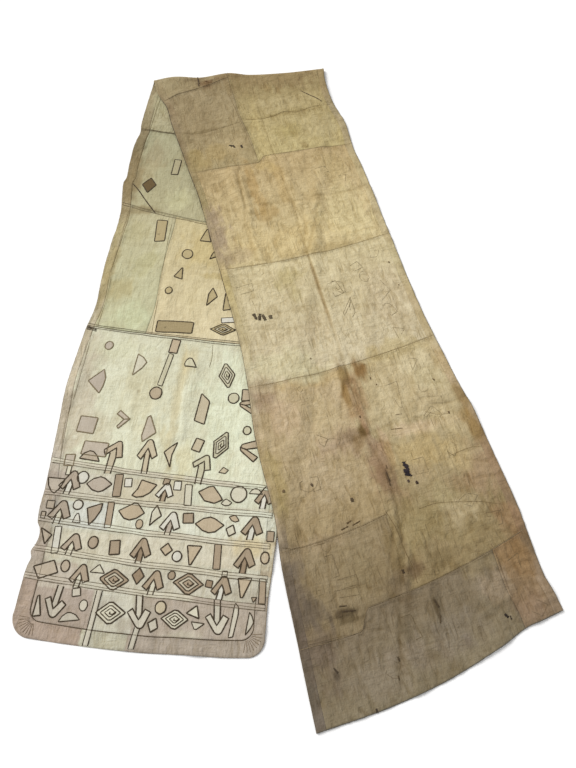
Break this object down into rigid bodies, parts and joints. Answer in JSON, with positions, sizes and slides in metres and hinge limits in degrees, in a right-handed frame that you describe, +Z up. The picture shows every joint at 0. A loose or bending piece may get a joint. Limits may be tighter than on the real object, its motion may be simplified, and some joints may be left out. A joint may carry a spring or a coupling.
{
  "type": "kuba cloth, a long patched raffia wrapper lying folded over once",
  "caption": "Long raffia wrapper of sewn panels with side borders and a pleated end binding, folded over once with its two arms spread flat",
  "frame": {"origin": "on the surface that the cloth lies on, under the middle of its outline", "axes": "+Z up off the surface; +Y from the spread ends towards the fold, along the lie of the two arms; +X from the rear arm on the left to the front arm on the right"},
  "size_m": [1.4682, 2.5281, 0.0255],
  "materials": {
    "raffia_worked_face": "matte",
    "raffia_reverse": "matte",
    "raffia_brown_patch": "matte",
    "raffia_border": "matte",
    "raffia_binding": "matte"
  },
  "bodies": {
    "root": {"rear_end_panel": "raffia_worked_face", "rear_field_panel": "raffia_worked_face", "rear_side_panel": "raffia_worked_face", "rear_middle_panel": "raffia_worked_face", "rear_top_panel": "raffia_worked_face", "rear_hidden_panel": "raffia_worked_face", "fold_panel": "raffia_reverse", "front_grey_panel": "raffia_reverse", "front_yellow_panel": "raffia_reverse", "front_tan_panel": "raffia_reverse", "front_pale_panel": "raffia_reverse", "front_brown_panel_left": "raffia_reverse", "front_brown_panel_right": "raffia_reverse", "front_lower_panel": "raffia_reverse", "front_end_panel": "raffia_reverse", "front_end_patch": "raffia_brown_patch", "border_rear_left": "raffia_border", "border_rear_right": "raffia_border", "border_front_left": "raffia_border", "border_front_right": "raffia_border", "end_binding": "raffia_binding"}
  },
  "joints": []
}
